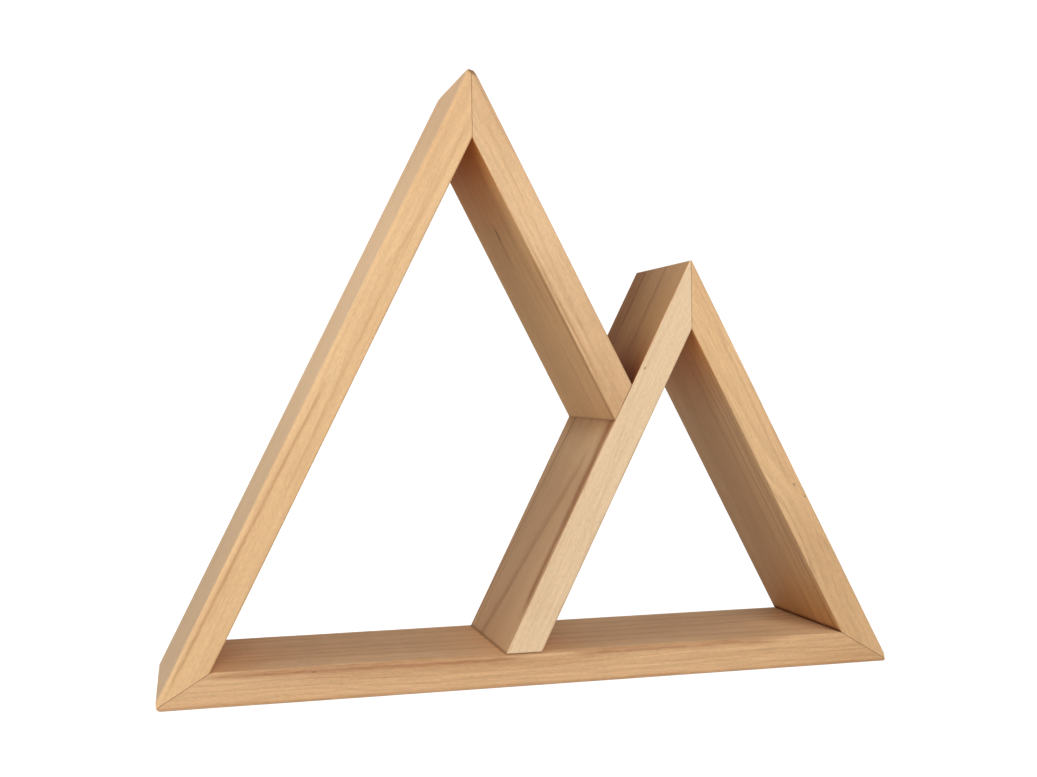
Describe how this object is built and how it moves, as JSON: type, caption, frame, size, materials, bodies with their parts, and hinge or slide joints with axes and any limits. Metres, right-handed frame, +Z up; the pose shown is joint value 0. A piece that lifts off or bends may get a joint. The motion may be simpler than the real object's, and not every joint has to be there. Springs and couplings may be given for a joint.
{
  "type": "display shelf",
  "caption": "Open mountain-shaped wooden display shelf: a tall peak and a smaller peak leaning against it on one shared base board.",
  "frame": {"origin": "on the floor, under the middle of the base board", "axes": "+Z up, +X along the base board from the large peak's side to the small peak's side, open front towards -Y"},
  "size_m": [0.399, 0.089, 0.324],
  "materials": {
    "wood_base": "satin clear-coated light wood, fine straight grain",
    "wood_honey": "satin clear-coated honey wood, fine straight grain",
    "wood_mid": "satin clear-coated light wood, fine straight grain",
    "wood_pale": "satin clear-coated pale wood with darker growth-ring lines",
    "brad_steel": "bare steel wire"
  },
  "bodies": {
    "root": {"base_board": "wood_base", "large_left_board": "wood_honey", "large_right_board": "wood_mid", "small_left_board": "wood_pale", "small_right_board": "wood_mid", "large_peak_brad_front": "brad_steel", "large_peak_brad_middle": "brad_steel", "large_peak_brad_back": "brad_steel", "small_peak_brad_front": "brad_steel", "small_peak_brad_middle": "brad_steel", "small_peak_brad_back": "brad_steel", "left_corner_brad_front": "brad_steel", "left_corner_brad_middle": "brad_steel", "left_corner_brad_back": "brad_steel", "right_corner_brad_front": "brad_steel", "right_corner_brad_middle": "brad_steel", "right_corner_brad_back": "brad_steel", "foot_brad_front": "brad_steel", "foot_brad_middle": "brad_steel", "foot_brad_back": "brad_steel", "valley_brad_front": "brad_steel", "valley_brad_middle": "brad_steel", "valley_brad_back": "brad_steel"}
  },
  "joints": []
}
